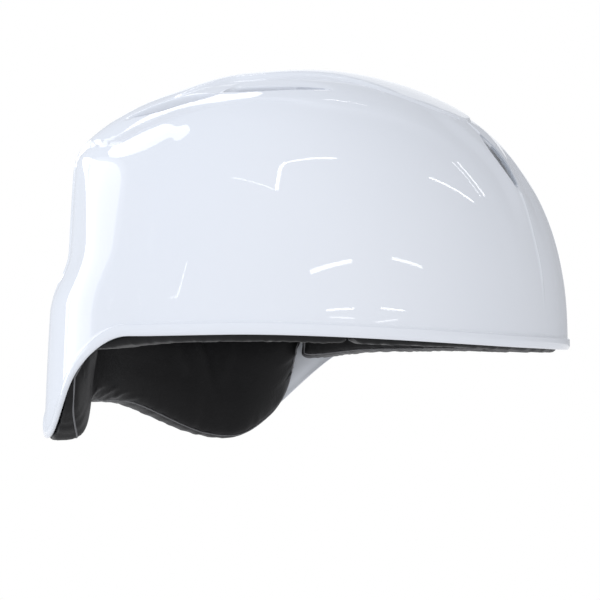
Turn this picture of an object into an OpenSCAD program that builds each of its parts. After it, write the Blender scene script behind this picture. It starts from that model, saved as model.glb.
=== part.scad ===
// Hard-shell helmet of a baseball catcher, without its mask.
// Millimetres, +X to the front, +Y to the wearer's left, +Z up.
// The origin lies in the middle of the head opening, level with the rim at the ears.

/* [Shell form] */
// Reach of the shell from the middle to the front
front_len = 122.8; // [116:0.5:130]
// Reach of the shell from the middle to the back wall
back_len = 119.3; // [112:0.5:126]
// Reach of the shell from the middle to each side
half_width = 109; // [104:0.5:114]
// Height of the crown over the ear rim
crown_h = 122.4; // [118:0.5:132]
// Reach at which the sloping rear crown would meet the ear rim level
slope_len = 140.3; // [136:0.5:148]
// Inward lean of the back wall, in degrees
back_lean = 3; // [1:0.5:6]
// Thickness of the shell wall
wall = 3; // [2.5:0.1:4]

/* [Rim] */
// Height of the moulded lip round the rim
lip_h = 4.3; // [3:0.1:6]
// How far the lip stands out
lip_out = 1; // [0.6:0.1:1.5]
// How far the front of the rim lies below the ears
front_drop = 5; // [3:0.5:8]
// How far the notch at the nape lies below the ears
nape_drop = 27; // [22:0.5:34]
// How far the two neck lobes reach below the ears
lobe_drop = 45.5; // [42:0.5:52]
// Outward step of the shell round the neck
flare = 8; // [5:0.5:9]
// Height at which the outward step ends
flare_low = 18; // [15:0.5:21]
// Height at which the outward step starts
flare_high = 31; // [28:0.5:36]

/* [Crown] */
// Half width of the raised crown panel at the middle
panel_half = 72.4; // [69:0.1:75]
// Height of the raised crown panel
panel_up = 1.1; // [0.8:0.1:2]
// Half width of the middle band at the middle
band_half = 47.5; // [46:0.5:49]
// Half width of the middle band at its rear end
band_rear = 62; // [58:0.5:64]
// Half width of the middle band behind its tip
nose_half = 31.5; // [29:0.5:33]
// Rise of the middle band at the apex
band_up = 2.2; // [1.4:0.1:3]
// Rise of the middle band at its front tip
band_tip_up = 0.9; // [0.6:0.1:1.5]
// Reach of the band's front tip from the middle
band_tip = 82; // [80:0.5:84]
// Rise of the ridge round the front vent
ridge_up = 1.4; // [0.8:0.1:2]

/* [Vents] */
// Length of a rear crown vent
rear_vent_len = 50; // [44:0.5:52]
// Width of a rear crown vent
rear_vent_w = 9.3; // [7:0.1:10]
// Length of a fore crown vent
fore_vent_len = 48.4; // [42:0.1:49]
// Width of a fore crown vent at its middle
fore_vent_w = 14.5; // [11:0.5:15]
// Depth of a vent at its slot
vent_depth = 5; // [3.5:0.1:6]
// Width of the open slot in a vent
slot_w = 3.4; // [2.5:0.1:4.5]
// Length of the front vent
front_vent_len = 31; // [26:0.5:34]
// Width of the front vent
front_vent_w = 10.6; // [9:0.1:12]

/* [Foam liner] */
// Thickness of the foam liner
foam = 10; // [8:0.5:12]
// Width of the air channels between the foam pieces
channel = 9; // [7:0.5:12]

/* [Pads] */
// Thickness of a comfort pad at its middle
pad = 9; // [8:0.5:11]
// Thickness of the nape pad at its middle
nape_pad_t = 13; // [11:0.5:14]
// Thickness of a hook or loop fastener patch
patch_t = 0.9; // [0.7:0.1:1.2]
// Thickness of the stiff board behind a pad
board = 1.2; // [1:0.1:1.6]

/* [Hidden] */
// Clearance between pieces that touch, and of the bonded foam
gap = 0.3;
foam_gap = 0.8;
near = 0.01;

// Exponents of the rounded outlines: front, side and back
front_round = 2.24;
side_round = 2.6;
back_round = 2.25;
plan_front = 2.17;
plan_back = 2.63;
wall_plan = 1.87;

// Back wall: how much wider it runs than the plan towards the sides
WALL_WIDEN = 0.3;
// Corner between dome and back wall: exponent at the sides, and what is added at the back
CORNER_SOFT = 10;
CORNER_CRISP = 35;
// Angles from the back: inner and outer flank of a neck lobe, drop of the front, neck step
LOBE_IN = [5, 38];
LOBE_OUT = [39.5, 74];
DROP_SPAN = [100, 175];
FLARE_SPAN = [40, 88];

// Smooth rise from 0 at a to 1 at b, the same for a ramp [start, end, amount], and a straight mix
function rise(x, a, b) = let (u = max(0, min(1, (x - a) / (b - a)))) u * u * (3 - 2 * u);
function ramp(x, s) = s[2] * rise(x, s[0], s[1]);
function mix(a, b, w) = a + (b - a) * w;
// Angle from the back of the head for an azimuth counted from the front
function off_back(az) = abs(180 - abs((az % 360 + 360) % 360));

// Rounded plan outline with its own reach to the front, back and sides
function plan_r(az, f, b, s, p) =
    pow(pow(abs(cos(az)) / (cos(az) > 0 ? f : b), p) + pow(abs(sin(az)) / s, p), -1 / p);
function dome_r(az, el, t) =
    let (c = cos(az),
        p = mix(plan_back, plan_front, (1 + c) / 2),
        n = side_round * (1 - c * c) + (c > 0 ? front_round : back_round) * c * c,
        r = plan_r(az, front_len - t, slope_len - t, half_width - t, p))
    pow(pow(cos(el) / r, n) + pow(max(sin(el), 0) / (crown_h - t), n), -1 / n);
function wall_r(az, el, t) =
    let (out = 1 + WALL_WIDEN * rise(cos(az), -0.78, 0.1),
        r = out * plan_r(az, front_len - t, back_len - t, half_width - t, wall_plan))
    r / max(near, cos(el) + tan(back_lean) * sin(el));
// The lesser of dome and back wall, with a crisp corner at the back that softens forwards
function form_r(az, el, t) =
    let (m = CORNER_SOFT + CORNER_CRISP * rise(-cos(az), 0.2, 0.9),
        d = dome_r(az, el, t), w = wall_r(az, el, t))
    d * pow(1 + pow(d / w, m), -1 / m);

// Elevation at which the form has a given height, or a given distance from the middle axis
function el_at_z(az, z, el = 0, k = 4) =
    k == 0 ? el : el_at_z(az, z, atan2(z, (form_r(az, el, 0) + flare_at(az, z)) * cos(el)), k - 1);
function el_at_r(az, r, t = 0, el = 60, k = 6) =
    k == 0 ? el : el_at_r(az, r, t, acos(min(1 - near, r / form_r(az, el, t))), k - 1);

// Height of the rim all the way round
function rim_z(az) =
    let (q = off_back(az))
    -nape_drop - (lobe_drop - nape_drop) * rise(q, LOBE_IN[0], LOBE_IN[1])
        + lobe_drop * rise(q, LOBE_OUT[0], LOBE_OUT[1]) + level_z(az);
// The same without the neck lobes
function level_z(az) = -front_drop * rise(off_back(az), DROP_SPAN[0], DROP_SPAN[1]);
// Outward step round the neck
function flare_at(az, z) =
    flare * (1 - rise(off_back(az), FLARE_SPAN[0], FLARE_SPAN[1]))
        * (1 - rise(z, flare_low, flare_high));

// Lines on the crown, as distances from the middle plane for a place x along the helmet.
// Middles of the vents along x
REAR_MID = -33;
FORE_MID = 17.2;
// Panel edge: taper to the front, and ramps that close it at the nose and the tail
PANEL_TAPER = 0.135;
PANEL_NOSE = [38, 118, 0.56];
PANEL_TAIL = [50, 110, 0.45];
// Vent lips: inset from the panel edge, middle of the arc, and its bend
REAR_LIP = [9, -28, 0.0035];
FORE_LIP = [8, 6, -0.0095];
LIP_JOIN = [-12, -3];
// Middle band: ramps that draw it in behind the vents and towards the tip, and the tip's length
BAND_NARROW = [-34, -8];
BAND_NOSE = [-4, 56];
TIP_LEN = 36;
function bow(u) = max(0, 1 - u * u);
function rear_u(x) = (x - REAR_MID) / (rear_vent_len / 2);
function fore_u(x) = (x - FORE_MID) / (fore_vent_len / 2);
function rear_w(x) = rear_vent_w * pow(bow(rear_u(x)), 1.1);
function fore_w(x) = fore_vent_w * pow(bow(fore_u(x)), 0.4) * (1 - 0.5 * fore_u(x));
function lip_arc(x, arc) = panel_half - arc[0] + arc[2] * pow(x - arc[1], 2);
function lip_y(x) =
    mix(lip_arc(x, REAR_LIP) + rear_w(x), lip_arc(x, FORE_LIP), rise(x, LIP_JOIN[0], LIP_JOIN[1]));
function crease_y(x) =
    (panel_half - PANEL_TAPER * x) * (1 - ramp(x, PANEL_NOSE) - ramp(-x, PANEL_TAIL));
function band_y(x) =
    let (narrow = rise(x, BAND_NARROW[0], BAND_NARROW[1]),
        nose = rise(x, BAND_NOSE[0], BAND_NOSE[1]),
        s = max(0, min(1, (x - band_tip) / TIP_LEN + 1)))
    (mix(band_rear, band_half, narrow) - (band_half - nose_half) * nose) * pow(bow(s), 0.65);
// Distance from the middle axis at which such a line is met, no more than a cap
function plan_cut(az, line, cap, lo = 0, hi = 180, k = 16) =
    let (m = (lo + hi) / 2)
    k == 0 ? pow(pow(m, -24) + pow(cap, -24), -1 / 24)
        : line(m * cos(az)) > m * abs(sin(az)) ? plan_cut(az, line, cap, m, hi, k - 1)
        : plan_cut(az, line, cap, lo, m, k - 1);
// Reach of the panel as a share of the shell, to the front and to the back
PANEL_REACH = [0.755, 0.87];
LIP_INSET = 2.4;
function crease_r(az) = plan_cut(az, function (x) crease_y(x),
    cos(az) > 0 ? PANEL_REACH[0] * front_len : PANEL_REACH[1] * back_len);
function lip_r(az) = min(plan_cut(az, function (x) lip_y(x), band_tip + 18), crease_r(az) - LIP_INSET);
function band_r(az) = plan_cut(az, function (x) band_y(x), band_tip + 10);

// Softness of the panel's edge and of the band's, at the rear and at the front
PANEL_SOFT = [0.7, 7];
BAND_SOFT = [1.8, 1.1];
// Places along the helmet where the band rises, sinks to its tip, and the front ridge starts and ends
BAND_RISE = [-45, -5];
BAND_SINK = [22, 66];
RIDGE_START = [66, 88];
RIDGE_END = [108, 118];
// Half width of the front ridge at its rear and its front end
RIDGE_HALF = [19, 8];

// How far panel, band and front ridge stand out at a place on the plan
function crown_up(x, y) =
    let (soft = mix(PANEL_SOFT[0], PANEL_SOFT[1], rise(x, 20, 90)),
        edge = mix(BAND_SOFT[0], BAND_SOFT[1], rise(x, 0, 50)),
        up = mix(band_up, band_tip_up, rise(x, BAND_SINK[0], BAND_SINK[1])),
        half = mix(RIDGE_HALF[0], RIDGE_HALF[1], rise(x, 82, 108)))
    panel_up * rise(crease_y(x) - abs(y), -soft / 2, soft)
        + up * rise(x, BAND_RISE[0], BAND_RISE[1]) * rise(band_y(x) - abs(y), -edge, edge)
        + ridge_up * rise(x, RIDGE_START[0], RIDGE_START[1])
            * (1 - rise(x, RIDGE_END[0], RIDGE_END[1])) * rise(half - abs(y), -4, 5);

// Rows of the shell from the rim up, with a pair of rows at each edge of panel and band
CREASE_OUT = 0.6;
CREASE_IN = 1.5;
BAND_EDGE = 1.5;
LIP_FALL = 0.8;
// Share of a vent's width that its slot may take, and share of its length that the slot runs
SLOT_SHARE = 0.45;
SLOT_RUN = 0.93;
function between(a, b, n) = [for (k = [1:n]) mix(a, b, k / (n + 1))];
function shell_rows(az) =
    let (z = rim_z(az), low = el_at_z(az, z + lip_h + lip_out), f0 = el_at_z(az, flare_low),
        f1 = el_at_z(az, flare_high), c1 = crease_r(az), corner = low_crown(az),
        lip = lip_r(az), w = vent_w(lip * cos(az)), shelf = lip - LIP_FALL,
        slot = shelf - max(0.5, min(slot_w, SLOT_SHARE * w)),
        band = min(band_r(az), slot - BAND_EDGE - 1))
    concat([el_at_z(az, z), el_at_z(az, z + lip_h), low], between(low, f0, 1),
        flare_rows(az), between(f1, corner, 2),
        [corner], between(corner, el_at_r(az, c1 + CREASE_OUT), 5),
        [for (r = [c1 + CREASE_OUT, c1 - CREASE_IN, lip, shelf, slot, band + BAND_EDGE,
            band - BAND_EDGE]) el_at_r(az, r)],
        between(el_at_r(az, band - BAND_EDGE), 90, 4));
function vent_w(x) = rear_w(x) + fore_w(x);
// Foot of the crown: the corner over the back wall, lower at the front
FRONT_FOOT = 30;
function low_crown(az) = mix(CORNER, FRONT_FOOT, rise(cos(az), 0.3, 0.9));
function corner_el(lo, hi, k = 12) =
    let (m = (lo + hi) / 2)
    k == 0 ? m : wall_r(180, m, 0) < dome_r(180, m, 0) ? corner_el(m, hi, k - 1)
        : corner_el(lo, m, k - 1);
CORNER = corner_el(20, 60);
ROWS = 26;
SLOT_OUT = 18;
SLOT_IN = 19;
// Columns round the shell, closer together at the front
COLS = 92;
function col_az(i) = let (u = 360 * i / COLS) u - 16 * sin(u) - 4 * sin(2 * u);

// The front vent lies along the middle column, about this elevation
FRONT_EL = 38.3;
function along_front(el) = (el - FRONT_EL) * PI / 180 * front_len / (front_vent_len / 2);
function vent_az(i, el, r) =
    let (k = i > COLS / 2 ? COLS - i : i, side = i > COLS / 2 ? -1 : 1, u = along_front(el),
        half = (k == 1 ? slot_w : front_vent_w) / 2 * (0.45 + 0.55 * bow(u)),
        plain = col_az(k))
    side * (k == 0 || k > 2 ? plain
        : mix(min(plain, asin(min(1, half / r))), plain, rise(abs(u), 1, 2.5)));

// Points of the shell: t is the depth below the outer face
STEEPEST = 0.55;
function shell_point(i, j, el, t) =
    let (az = vent_az(i, el, form_r(col_az(i), el, 0) * cos(el)),
        f = form_r(az, el, t), x = f * cos(el) * cos(az), y = f * cos(el) * sin(az),
        x0 = form_r(az, el, 0) * cos(el) * cos(az),
        crown = j == SLOT_OUT || j == SLOT_IN ? min(vent_depth, STEEPEST * vent_w(x0)) : 0,
        front = (i < 2 || i > COLS - 2) && j < SLOT_OUT ? vent_depth * bow(along_front(el)) : 0,
        lip = j < 2 && t == 0 ? lip_out : 0,
        r = f + flare_at(az, f * sin(el)) + crown_up(x, y) * rise(el, 4, 14) + lip - crown - front)
    r * [cos(el) * cos(az), cos(el) * sin(az), sin(el)];
function is_slot(i, j, el0, el1) =
    let (x0 = lip_r(col_az(i)) * cos(col_az(i)), x1 = lip_r(col_az(i + 1)) * cos(col_az(i + 1)))
    j == SLOT_OUT
        ? min(max(abs(rear_u(x0)), abs(rear_u(x1))), max(abs(fore_u(x0)), abs(fore_u(x1)))) < SLOT_RUN
        : (i == 0 || i == COLS - 1) && max(abs(along_front(el0)), abs(along_front(el1))) < SLOT_RUN;

// Moulded shell with its lip, crown panel, middle band and five vents
module shell() {
    n = COLS * ROWS;
    rows = [for (i = [0:COLS - 1]) shell_rows(col_az(i))];
    out = [for (j = [0:ROWS - 1], i = [0:COLS - 1]) shell_point(i, j, rows[i][j], 0)];
    in = [for (j = [0:ROWS - 1], i = [0:COLS - 1]) shell_point(i, j, rows[i][j], wall)];
    top = [0, 0, crown_h + panel_up + band_up];
    slot = [for (j = [0:ROWS - 2]) [for (i = [0:COLS - 1]) is_slot(i, j, rows[i][j], rows[i][j + 1])]];
    function id(i, j) = j * COLS + i % COLS;
    function gone(i, j) = j >= 0 && j < ROWS - 1 && slot[j][(i + COLS) % COLS];
    cells = [for (j = [0:ROWS - 2], i = [0:COLS - 1]) if (!slot[j][i]) [i, j]];
    holes = [for (j = [0:ROWS - 2], i = [0:COLS - 1]) if (slot[j][i]) [i, j]];
    faces = concat(
        [for (c = cells) let (i = c[0], j = c[1]) each [
            [id(i, j), id(i, j + 1), id(i + 1, j + 1)], [id(i, j), id(i + 1, j + 1), id(i + 1, j)],
            [n + id(i, j), n + id(i + 1, j + 1), n + id(i, j + 1)],
            [n + id(i, j), n + id(i + 1, j), n + id(i + 1, j + 1)]]],
        [for (i = [0:COLS - 1]) each [
            [id(i, ROWS - 1), 2 * n, id(i + 1, ROWS - 1)],
            [n + id(i, ROWS - 1), n + id(i + 1, ROWS - 1), 2 * n + 1],
            [id(i, 0), id(i + 1, 0), n + id(i + 1, 0)], [id(i, 0), n + id(i + 1, 0), n + id(i, 0)]]],
        [for (c = holes) let (i = c[0], j = c[1]) each concat(
            gone(i, j - 1) ? [] : wall_strip(id(i + 1, j), id(i, j), n),
            gone(i, j + 1) ? [] : wall_strip(id(i, j + 1), id(i + 1, j + 1), n),
            gone(i - 1, j) ? [] : wall_strip(id(i, j), id(i, j + 1), n),
            gone(i + 1, j) ? [] : wall_strip(id(i + 1, j + 1), id(i + 1, j), n))]);
    color("whitesmoke")
        polyhedron(concat(out, in, [top, top - [0, 0, wall]]), faces, convexity = 8);
}
function wall_strip(a, b, n) = [[a, b, n + b], [a, n + b, n + a]];

// Point at depth t below the form, with the outward step of the neck or the rise of the crown
function at_depth(az, el, t) =
    let (f = form_r(az, el, t), r = f + flare_at(az, f * sin(el)))
    r * [cos(el) * cos(az), cos(el) * sin(az), sin(el)];
function crown_at(az, r, t) =
    let (el = r < 1 ? 90 : el_at_r(az, r, t), f = form_r(az, el, t),
        up = crown_up(f * cos(el) * cos(az), f * cos(el) * sin(az)))
    (f + up) * [cos(el) * cos(az), cos(el) * sin(az), sin(el)];

// Closed skin over two grids of n by m cells that face each other
module skin(out, in, n, m, ring = []) {
    c = (n + 1) * (m + 1);
    function id(i, j) = j * (n + 1) + i;
    edge = concat([for (i = [0:n]) id(i, 0)], [for (j = [1:m]) id(n, j)],
        [for (i = [n - 1:-1:0]) id(i, m)], [for (j = [m - 1:-1:1]) id(0, j)]);
    e = len(edge);
    grid = [for (j = [0:m - 1], i = [0:n - 1]) each [
        [id(i, j), id(i, j + 1), id(i + 1, j + 1)], [id(i, j), id(i + 1, j + 1), id(i + 1, j)],
        [c + id(i, j), c + id(i + 1, j + 1), c + id(i, j + 1)],
        [c + id(i, j), c + id(i + 1, j), c + id(i + 1, j + 1)]]];
    side = len(ring) == 0
        ? [for (k = [0:e - 1]) let (a = edge[k], b = edge[(k + 1) % e]) each [
            [a, b, c + b], [a, c + b, c + a]]]
        : [for (k = [0:e - 1]) let (a = edge[k], b = edge[(k + 1) % e], p = 2 * c + k,
            q = 2 * c + (k + 1) % e) each [
            [a, b, q], [a, q, p], [p, q, c + b], [p, c + b, c + a]]];
    polyhedron(concat(out, in, ring), concat(grid, side), convexity = 6);
}
// Round disc under the crown, from the apex out to a plan radius for each azimuth
module crown_disc(n, m, reach, t_out, t_in) {
    function grid(t) = [for (j = [1:m], i = [0:n - 1])
        crown_at(360 * i / n, reach(360 * i / n) * j / m, t(j / m))];
    c = n * m;
    function id(i, j) = (j - 1) * n + i % n;
    cells = [for (j = [1:m - 1], i = [0:n - 1]) each [
        [id(i, j), id(i + 1, j + 1), id(i, j + 1)], [id(i, j), id(i + 1, j), id(i + 1, j + 1)],
        [c + id(i, j), c + id(i, j + 1), c + id(i + 1, j + 1)],
        [c + id(i, j), c + id(i + 1, j + 1), c + id(i + 1, j)]]];
    caps = [for (i = [0:n - 1]) each [
        [2 * c, id(i + 1, 1), id(i, 1)], [2 * c + 1, c + id(i, 1), c + id(i + 1, 1)],
        [id(i, m), id(i + 1, m), c + id(i + 1, m)], [id(i, m), c + id(i + 1, m), c + id(i, m)]]];
    polyhedron(concat(grid(t_out), grid(t_in), [crown_at(0, 0, t_out(0)), crown_at(0, 0, t_in(0))]),
        concat(cells, caps), convexity = 6);
}
// Places from -1 to 1, closer together towards both ends
function spread(n) = [for (i = [0:n]) sin(180 * i / n - 90)];
// How far a corner of radius rc draws the edge in at place u of a side of length len
function corner(u, len, rc) =
    let (x = max(0, abs(u) * len / 2 - len / 2 + rc) / rc) rc * (1 - sqrt(max(0, 1 - x * x)));

// Depths of the layers under the form
FOAM_OUT = wall + foam_gap;
FOAM_IN = FOAM_OUT + foam;
HOOK = FOAM_IN + gap;
LOOP = HOOK + patch_t + gap;
BOARD = LOOP + patch_t + gap;
PAD_BACK = BOARD + board + gap;
function arc_deg(mm) = mm / half_width * 180 / PI;

// Piece of liner between two azimuths and two heights, at one thickness
module liner(az0, az1, rows, n, m, t0, t1, rc = 6) {
    len = (az1 - az0) * PI / 180 * half_width;
    us = spread(n);
    function az(u) = mix(az0, az1, (1 + u) / 2);
    function el(u, j) = let (e = rows(az(u)), d = arc_deg(corner(u, len, rc)))
        mix(e[0] + d, e[m] - d, (e[j] - e[0]) / (e[m] - e[0]));
    skin([for (j = [0:m], u = us) at_depth(az(u), el(u, j), t0)],
        [for (j = [0:m], u = us) at_depth(az(u), el(u, j), t1)], n, m);
}
function even(a, b, m) = [for (j = [0:m]) mix(a, b, j / m)];

// Azimuths where the front pieces of foam and pad meet those of the side, and these those of the back
FRONT_END = 50;
SIDE_END = 122;
// Height of the foam over the rim, and what it keeps clear of the front vent and the rear corner
FOAM_LIFT = 9;
VENT_CLEAR = 13;
CORNER_CLEAR = 4;
function flare_rows(az) =
    [for (z = [flare_low, (flare_low + flare_high) / 2, flare_high]) el_at_z(az, z)];
function foam_low(az) = el_at_z(az, level_z(az) + FOAM_LIFT);
function foam_top(az) = el_at_r(az, crease_r(az)) - arc_deg(channel);
FRONT_FOAM_TOP = FRONT_EL - (front_vent_len / 2 + VENT_CLEAR) / front_len * 180 / PI;
BACK_FOAM_TOP = CORNER - arc_deg(CORNER_CLEAR);
module foam_front() {
    color("gainsboro") liner(-FRONT_END + arc_deg(channel / 2), FRONT_END - arc_deg(channel / 2),
        function (a) even(foam_low(a), FRONT_FOAM_TOP, 5), 20, 5, FOAM_OUT, FOAM_IN);
}
module foam_side(side) {
    a0 = FRONT_END + arc_deg(channel / 2);
    a1 = SIDE_END - arc_deg(channel / 2);
    color("gainsboro") liner(side > 0 ? a0 : -a1, side > 0 ? a1 : -a0,
        function (a) concat([foam_low(a), mix(foam_low(a), el_at_z(a, flare_low), 0.5)],
            flare_rows(a), between(el_at_z(a, flare_high), foam_top(a), 4), [foam_top(a)]),
        12, 9, FOAM_OUT, FOAM_IN);
}
module foam_left() { foam_side(1); }
module foam_right() { foam_side(-1); }
module foam_back() {
    color("gainsboro") liner(SIDE_END + arc_deg(channel / 2), 360 - SIDE_END - arc_deg(channel / 2),
        function (a) concat([el_at_z(a, NAPE_TOP + gap * 10)], flare_rows(a),
            between(el_at_z(a, flare_high), BACK_FOAM_TOP, 2), [BACK_FOAM_TOP]),
        20, 6, FOAM_OUT, FOAM_IN);
}
// Plan of the pieces under the crown, held clear of the vents: front, back, side and roundness
CROWN_FRONT = band_tip - 16;
CROWN_BACK = 84;
CROWN_SIDE = band_half - 4.5;
CROWN_ROUND = [1.8, 2.5];
function crown_reach(az, less) = plan_r(az, CROWN_FRONT - less, CROWN_BACK - less, CROWN_SIDE - less,
    CROWN_ROUND[cos(az) > 0 ? 0 : 1]);
module foam_crown() {
    color("gainsboro") crown_disc(36, 5, function (a) crown_reach(a, 0),
        function (s) FOAM_OUT, function (s) FOAM_IN);
}

// Crown of a cushion at places u and v, full in the middle and falling to the edges
function puff(u, v, edge) = mix(edge, 1, pow(max(0, 1 - pow(abs(u), 5)), 0.5)
    * pow(max(0, 1 - pow(abs(v), 4)), 0.5));
// Sewn groove across a cushion at place at, half wide and deep as a share of its thickness
function groove(u, at, half, deep) = deep * (1 - rise(abs(u - at), 0, half));

// Low edge of the pads: how far it hangs below the rim at the sides, the front and the rear end
SIDE_HANG = 3.5;
FRONT_HANG = 2;
REAR_HANG = 3;
function pad_low(az) =
    let (q = off_back(az))
    level_z(az) - mix(SIDE_HANG, FRONT_HANG, rise(q, 120, 160)) - REAR_HANG * (1 - rise(q, 58, 82));
// Thickness of a pad at its sewn edge as a share of its middle
EDGE_SHARE = 0.45;
// Pad round the inside, which turns out under the foam to meet the shell
module edge_pad(az0, az1, top, n, grooves) {
    m = 8;
    len = (az1 - az0) * PI / 180 * half_width;
    us = spread(n);
    function az(u) = mix(az0, az1, (1 + u) / 2);
    function z(u, j) = let (a = az(u), d = corner(u, len, 7), z0 = pad_low(a) + 0.35 * d,
        zr = level_z(a), hi = top - d)
        j == 0 ? z0 : j == 1 ? z0 + 1.6 : j == 2 ? zr + 5.5 : j == 3 ? zr + 8
        : mix(zr + 8, hi, (j - 3) / 5);
    function back(u, j) = mix(wall + 2, PAD_BACK, (j < 3 ? 0 : 1))
        + (j == 0 || abs(u) == 1 ? 1.6 : 0);
    function front(u, j) = let (v = 2 * j / m - 1, g = max([for (g = grooves) groove(u, g, 0.1, 0.3)]))
        PAD_BACK + pad * (puff(u, v, EDGE_SHARE) - g);
    color("dimgray") skin(
        [for (j = [0:m], u = us) at_depth(az(u), el_at_z(az(u), z(u, j)), back(u, j))],
        [for (j = [0:m], u = us) at_depth(az(u), el_at_z(az(u), z(u, j)), front(u, j))], n, m);
}
// Space between two pads, and the heights of the pads over the ear rim
PAD_SPACE = 1;
FRONT_TOP = 26;
SIDE_TOP = 40;
SIDE_PAD = [FRONT_END + arc_deg(3 * PAD_SPACE), SIDE_END - 1];
SIDE_MID = (SIDE_PAD[0] + SIDE_PAD[1]) / 2;
module front_pad() {
    edge_pad(-FRONT_END, FRONT_END, FRONT_TOP, 24, [-0.4, 0.4]);
}
module side_pad(side) {
    edge_pad(SIDE_PAD[side > 0 ? 0 : 1] * side, SIDE_PAD[side > 0 ? 1 : 0] * side, SIDE_TOP, 16,
        [-0.2 * side]);
}
module side_pad_left() { side_pad(1); }
module side_pad_right() { side_pad(-1); }

// Nape pad over the neck lobes, with its low edge just under that of the shell
NAPE_HALF = 180 - SIDE_PAD[1] - arc_deg(PAD_SPACE);
NAPE_SLANT = 2.5;
NAPE_TOP = 10;
NAPE_BACK = wall + 4 * gap + 2 * patch_t + board;
module nape_pad() {
    n = 32;
    m = 9;
    len = 2 * NAPE_HALF * PI / 180 * back_len;
    us = spread(n);
    function az(u, j) = 180 + (NAPE_HALF - NAPE_SLANT * (1 - j / m)) * u;
    function z(u, j) = let (d = corner(u, len, 12), z0 = rim_z(az(u, 0)) - 1 + d,
        hi = NAPE_TOP - 0.5 * d) mix(z0, hi, j / m);
    function inside(u, j) = rise(1 - abs(u), 0, 0.08) * rise(j, 0, 1) * rise(m - j, 0, 1);
    function back(u, j) = mix(wall + gap + 0.3, NAPE_BACK, inside(u, j));
    function front(u, j) = NAPE_BACK + nape_pad_t * (puff(u, 2 * j / m - 1, EDGE_SHARE)
        - max([for (g = [-0.55, 0, 0.55]) groove(u, g, 0.08, 0.12)]));
    function at(u, j, t) = at_depth(az(u, j), el_at_z(az(u, j), z(u, j)), t);
    color("dimgray") skin([for (j = [0:m], u = us) at(u, j, back(u, j))],
        [for (j = [0:m], u = us) at(u, j, front(u, j))], n, m);
}
module crown_pad() {
    color("dimgray") crown_disc(36, 5, function (a) crown_reach(a, 8),
        function (s) PAD_BACK, function (s) PAD_BACK + pad * mix(0.4, 1, sqrt(1 - pow(s, 4))));
}

// Stiff board behind each pad, and the hook and loop patches that hold it.
// Each is [half angle, low edge, high edge], drawn in from the pad and from the board
function drawn_in(b, side, edge) = [b[0] - side, b[1] + edge, b[2] - edge];
FRONT_BOARD = drawn_in([FRONT_END, 4, FRONT_TOP], 8, 4);
SIDE_BOARD = drawn_in([(SIDE_PAD[1] - SIDE_PAD[0]) / 2, 6, SIDE_TOP], 7, 5);
NAPE_BOARD = drawn_in([NAPE_HALF, 1 - nape_drop, NAPE_TOP], 16, 9);
FRONT_PATCH = drawn_in(FRONT_BOARD, 16, 2);
SIDE_PATCH = drawn_in(SIDE_BOARD, 10, 4);
NAPE_PATCH = drawn_in(NAPE_BOARD, 12, 2);
CROWN_PATCH = 22;
NAPE_HOOK = wall + gap;
module sheet(az, size, t, thick, n = 10, m = 2) {
    liner(az - size[0], az + size[0], function (a) even(el_at_z(a, size[1]), el_at_z(a, size[2]), m),
        n, m, t, t + thick, 3);
}
module crown_sheet(m, reach, t, thick) {
    crown_disc(36, m, reach, function (s) t, function (s) t + thick);
}
module front_board() { color("silver") sheet(0, FRONT_BOARD, BOARD, board, 18); }
module side_board_left() { color("silver") sheet(SIDE_MID, SIDE_BOARD, BOARD, board, 10, 4); }
module side_board_right() { color("silver") sheet(-SIDE_MID, SIDE_BOARD, BOARD, board, 10, 4); }
module nape_board() { color("silver") sheet(180, NAPE_BOARD, NAPE_BACK - gap - board, board, 20, 3); }
module crown_board() { color("silver") crown_sheet(5, function (a) crown_reach(a, 16), BOARD, board); }
module hook_front() { color("black") sheet(0, FRONT_PATCH, HOOK, patch_t); }
module loop_front() { color("gray") sheet(0, FRONT_PATCH, LOOP, patch_t); }
module hook_left() { color("black") sheet(SIDE_MID, SIDE_PATCH, HOOK, patch_t); }
module loop_left() { color("gray") sheet(SIDE_MID, SIDE_PATCH, LOOP, patch_t); }
module hook_right() { color("black") sheet(-SIDE_MID, SIDE_PATCH, HOOK, patch_t); }
module loop_right() { color("gray") sheet(-SIDE_MID, SIDE_PATCH, LOOP, patch_t); }
module hook_nape() { color("black") sheet(180, NAPE_PATCH, NAPE_HOOK, patch_t, 12); }
module loop_nape() { color("gray") sheet(180, NAPE_PATCH, NAPE_HOOK + patch_t + gap, patch_t, 12); }
module hook_crown() { color("black") crown_sheet(2, function (a) CROWN_PATCH, HOOK, patch_t); }
module loop_crown() { color("gray") crown_sheet(2, function (a) CROWN_PATCH, LOOP, patch_t); }

shell();
foam_crown();
foam_front();
foam_back();
foam_left();
foam_right();
crown_pad();
front_pad();
side_pad_left();
side_pad_right();
nape_pad();
crown_board();
front_board();
side_board_left();
side_board_right();
nape_board();
hook_crown();
hook_front();
hook_left();
hook_right();
hook_nape();
loop_crown();
loop_front();
loop_left();
loop_right();
loop_nape();
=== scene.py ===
import math

import bpy
import numpy as np
from mathutils import Matrix, Vector


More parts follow.
